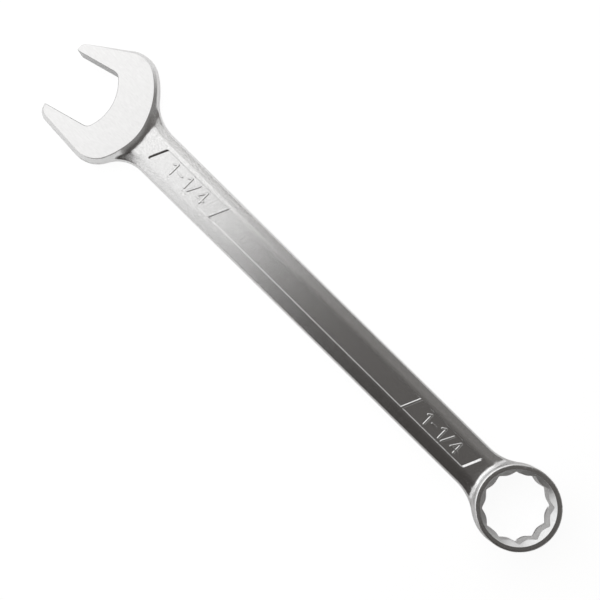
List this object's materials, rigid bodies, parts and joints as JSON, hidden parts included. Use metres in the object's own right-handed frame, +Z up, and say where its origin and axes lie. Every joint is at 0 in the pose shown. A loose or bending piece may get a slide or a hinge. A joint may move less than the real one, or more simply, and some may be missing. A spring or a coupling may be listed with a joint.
{
  "type": "combination wrench",
  "caption": "Forged combination wrench with an angled open jaw, a double-hexagon box end bent up from the handle, and a flat handle with sunk panels.",
  "frame": {"origin": "middle of the foot of the wrench's box, on the surface that it lies on", "axes": "+X along the handle from the open end to the box end, +Z up, out of the face that the ring is bent towards, +Y across the handle"},
  "size_m": [0.3502, 0.0622, 0.0213],
  "materials": {
    "satin_chrome": "satin chrome plate over forged chrome-vanadium steel, with the open end's two faces ground brighter"
  },
  "bodies": {
    "root": {"open_end": "satin_chrome", "shank": "satin_chrome", "box_end": "satin_chrome"}
  },
  "joints": []
}
